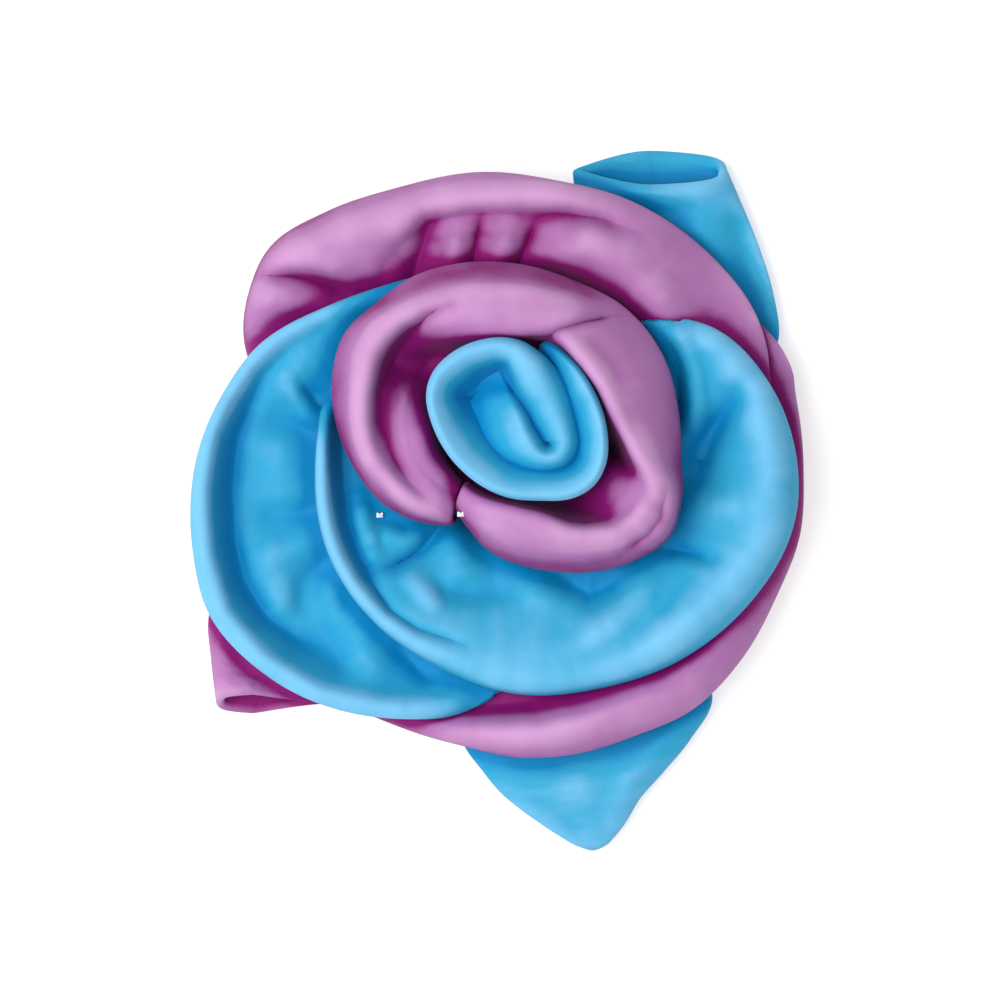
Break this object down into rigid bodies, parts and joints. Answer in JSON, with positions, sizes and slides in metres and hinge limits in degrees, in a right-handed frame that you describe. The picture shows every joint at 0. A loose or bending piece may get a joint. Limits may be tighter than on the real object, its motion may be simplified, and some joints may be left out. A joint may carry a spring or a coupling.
{
  "type": "rose corsage brooch",
  "caption": "Soft cloth rose in two colours: a rolled bud in a folded wrap, broad gathered petals, looped and pointed leaves, and a bar pin on the back.",
  "frame": {"origin": "middle of the outline seen from the front, on the surface that the brooch lies on", "axes": "+Z out of the flower's face, +Y from the pointed leaf towards the open blue leaf, +X to the right seen from the front"},
  "size_m": [0.0795, 0.0914, 0.0262],
  "materials": {
    "blue_cloth": "smooth soft-sheen stretch cloth in sky blue",
    "pink_cloth": "smooth soft-sheen stretch cloth in orchid pink",
    "pin_metal": "satin nickel-plated steel"
  },
  "bodies": {
    "root": {"bud": "blue_cloth", "wrap": "pink_cloth", "petal_blue_right": "blue_cloth", "petal_blue_left": "blue_cloth", "petal_pink_top": "pink_cloth", "petal_pink_bottom": "pink_cloth", "leaf_top": "blue_cloth", "leaf_left": "pink_cloth", "leaf_bottom": "blue_cloth", "pin_back": "pin_metal"}
  },
  "joints": []
}
